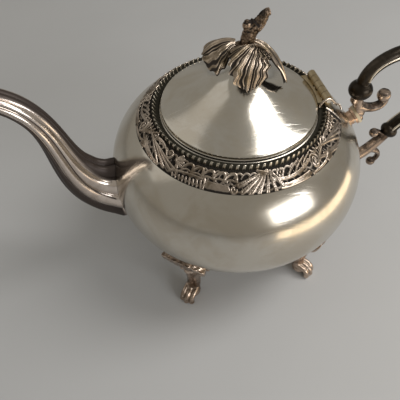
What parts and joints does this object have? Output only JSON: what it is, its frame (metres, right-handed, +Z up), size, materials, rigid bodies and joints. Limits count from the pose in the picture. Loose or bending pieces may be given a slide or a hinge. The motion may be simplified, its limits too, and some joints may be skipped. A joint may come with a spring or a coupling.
{
  "type": "teapot",
  "caption": "Squat round metal teapot with a hinged domed lid, an applied scroll border, a fluted curved spout, an ear-shaped scroll handle and cast paw feet.",
  "frame": {"origin": "middle of the teapot's length and width, on the surface it stands on", "axes": "+Z up, the spout towards -X, the handle and the lid's hinge towards +X, +Y to the left for someone who holds the handle and looks along the spout"},
  "size_m": [0.314, 0.17, 0.1975],
  "materials": {
    "polished_silver": "polished silver plate with a light warm tarnish",
    "bright_silver": "worn bright silver plate",
    "cast_silver": "cast silver plate, warm where worn and dark in the recesses",
    "dark_silver": "cast silver plate, heavily tarnished",
    "insulator": "cream heat insulator, satin"
  },
  "bodies": {
    "pot": {"body_shell": "polished_silver", "gadroon_rim": "bright_silver", "scroll_border": "cast_silver", "spout": "cast_silver", "foot_front_left": "cast_silver", "foot_front_right": "cast_silver", "foot_back_left": "cast_silver", "foot_back_right": "cast_silver", "hinge_leaf_body": "polished_silver", "hinge_pin": "bright_silver", "handle_upper_socket": "cast_silver", "handle_upper_insulator": "insulator", "handle_upper_scroll": "dark_silver", "handle_grip": "dark_silver", "handle_lower_scroll": "dark_silver", "handle_lower_insulator": "insulator", "handle_lower_socket": "cast_silver", "handle_lock_pins": "bright_silver"},
    "lid": {"lid_dome": "polished_silver", "lid_bezel": "polished_silver", "hinge_leaf_lid": "polished_silver", "finial_twig": "cast_silver", "finial_leaf_left": "dark_silver", "finial_leaf_front": "dark_silver", "finial_leaf_right": "dark_silver", "finial_stud": "bright_silver", "finial_washer": "bright_silver", "finial_nut": "bright_silver"}
  },
  "joints": [
    {"name": "lid_hinge", "type": "hinge", "parent": "pot", "child": "lid", "pos_m": [0.0531, 0, 0.14097], "axis": [0, 1, 0], "range_deg": [0, 95]}
  ]
}
